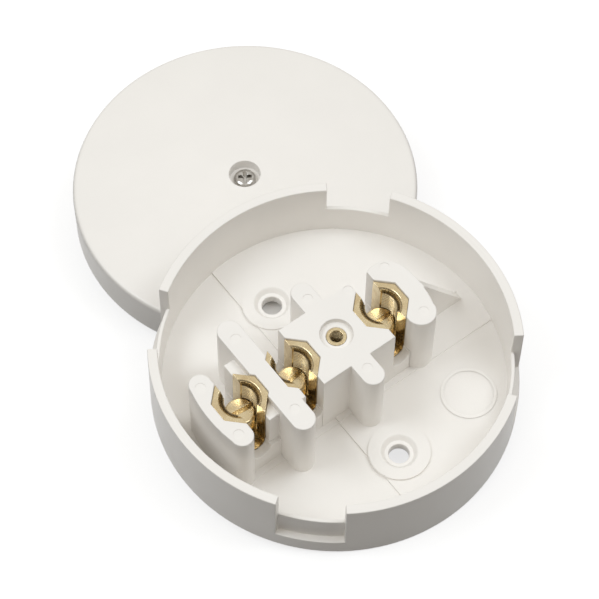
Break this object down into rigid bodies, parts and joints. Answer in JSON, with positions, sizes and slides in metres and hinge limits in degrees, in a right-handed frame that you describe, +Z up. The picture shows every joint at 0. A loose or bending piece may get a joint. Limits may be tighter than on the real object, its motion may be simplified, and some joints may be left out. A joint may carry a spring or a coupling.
{
  "type": "junction box",
  "caption": "Round surface junction box with screw terminals in a moulded base and its domed lid taken off, the base leaning on the lid.",
  "frame": {"origin": "centre of the box round base and lid as they lie, at the height of the surface they lie on", "axes": "+Z up, +X along the row of terminals seen from above, +Y the way the wires run, towards the lid"},
  "size_m": [0.1132, 0.1604, 0.0401],
  "materials": {
    "white_moulding": "satin",
    "brass": "machined",
    "plated_steel": "polished"
  },
  "bodies": {
    "box": {"base": "white_moulding", "threaded_insert": "brass", "left_terminal": "brass", "middle_terminal": "brass", "right_terminal": "brass", "lid": "white_moulding"},
    "cover_screw_body": {"cover_screw": "plated_steel"},
    "left_clamp_screw_body": {"left_clamp_screw": "brass"},
    "middle_clamp_screw_body": {"middle_clamp_screw": "brass"},
    "right_clamp_screw_body": {"right_clamp_screw": "brass"}
  },
  "joints": [
    {"name": "left_clamp_screw_travel", "type": "slide", "parent": "box", "child": "left_clamp_screw_body", "axis": [-0.0586, -0.1953, 0.979], "range_m": [-0.0038, 0.0063]},
    {"name": "middle_clamp_screw_travel", "type": "slide", "parent": "box", "child": "middle_clamp_screw_body", "axis": [-0.0586, -0.1953, 0.979], "range_m": [-0.0026, 0.0075]},
    {"name": "right_clamp_screw_travel", "type": "slide", "parent": "box", "child": "right_clamp_screw_body", "axis": [-0.0586, -0.1953, 0.979], "range_m": [-0.0031, 0.007]},
    {"name": "cover_screw_turn", "type": "hinge", "parent": "box", "child": "cover_screw_body", "pos_m": [0.01062, 0.03484, 0.00784], "axis": [-0.049, -0.1633, 0.9854], "continuous": true}
  ]
}
